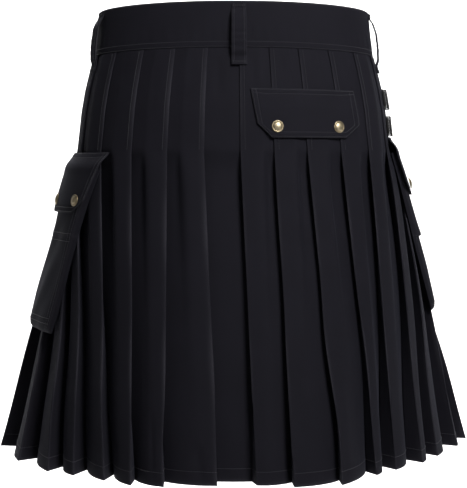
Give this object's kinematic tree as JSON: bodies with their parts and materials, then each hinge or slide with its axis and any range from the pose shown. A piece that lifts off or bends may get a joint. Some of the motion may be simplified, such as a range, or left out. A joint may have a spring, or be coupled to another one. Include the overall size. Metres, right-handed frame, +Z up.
{
  "type": "utility kilt",
  "caption": "Worn utility kilt: waistband with belt loops, knife-pleated skirt, lapped front apron, cargo pockets, rear pocket flap and two buckled hip straps.",
  "frame": {"origin": "centre of the waist opening at the waistband's top edge, where the wearer holds the kilt up", "axes": "+Z up, -Y to the kilt's back, +X to the wearer's right"},
  "size_m": [0.6716, 0.4678, 0.61],
  "materials": {
    "kilt_cloth": "black cotton twill",
    "strap_leather": "black semi-gloss leather",
    "snap_brass": "antique brass",
    "buckle_brass": "dark antique brass"
  },
  "bodies": {
    "root": {"waistband": "kilt_cloth", "skirt_back_centre": "kilt_cloth", "skirt_back_left": "kilt_cloth", "skirt_back_right": "kilt_cloth", "skirt_side_left": "kilt_cloth", "skirt_side_right": "kilt_cloth", "over_apron": "kilt_cloth", "under_apron": "kilt_cloth", "belt_loop_back": "kilt_cloth", "belt_loop_left": "kilt_cloth", "belt_loop_right": "kilt_cloth", "belt_loop_front_left": "kilt_cloth", "belt_loop_front_right": "kilt_cloth", "rear_flap": "kilt_cloth", "rear_snap_1": "snap_brass", "rear_snap_2": "snap_brass", "pocket_left": "kilt_cloth", "pocket_right": "kilt_cloth", "pocket_flap_left": "kilt_cloth", "pocket_flap_right": "kilt_cloth", "pocket_snap_left_1": "snap_brass", "pocket_snap_left_2": "snap_brass", "pocket_snap_left_3": "snap_brass", "pocket_snap_right_1": "snap_brass", "pocket_snap_right_2": "snap_brass", "pocket_snap_right_3": "snap_brass", "strap_upper": "strap_leather", "strap_lower": "strap_leather", "strap_tab_upper": "strap_leather", "strap_tab_lower": "strap_leather", "strap_keeper_upper": "strap_leather", "strap_keeper_lower": "strap_leather", "buckle_frame_upper": "buckle_brass", "buckle_frame_lower": "buckle_brass", "buckle_prong_upper": "buckle_brass", "buckle_prong_lower": "buckle_brass", "waist_snap_1": "snap_brass", "waist_snap_2": "snap_brass"}
  },
  "joints": []
}
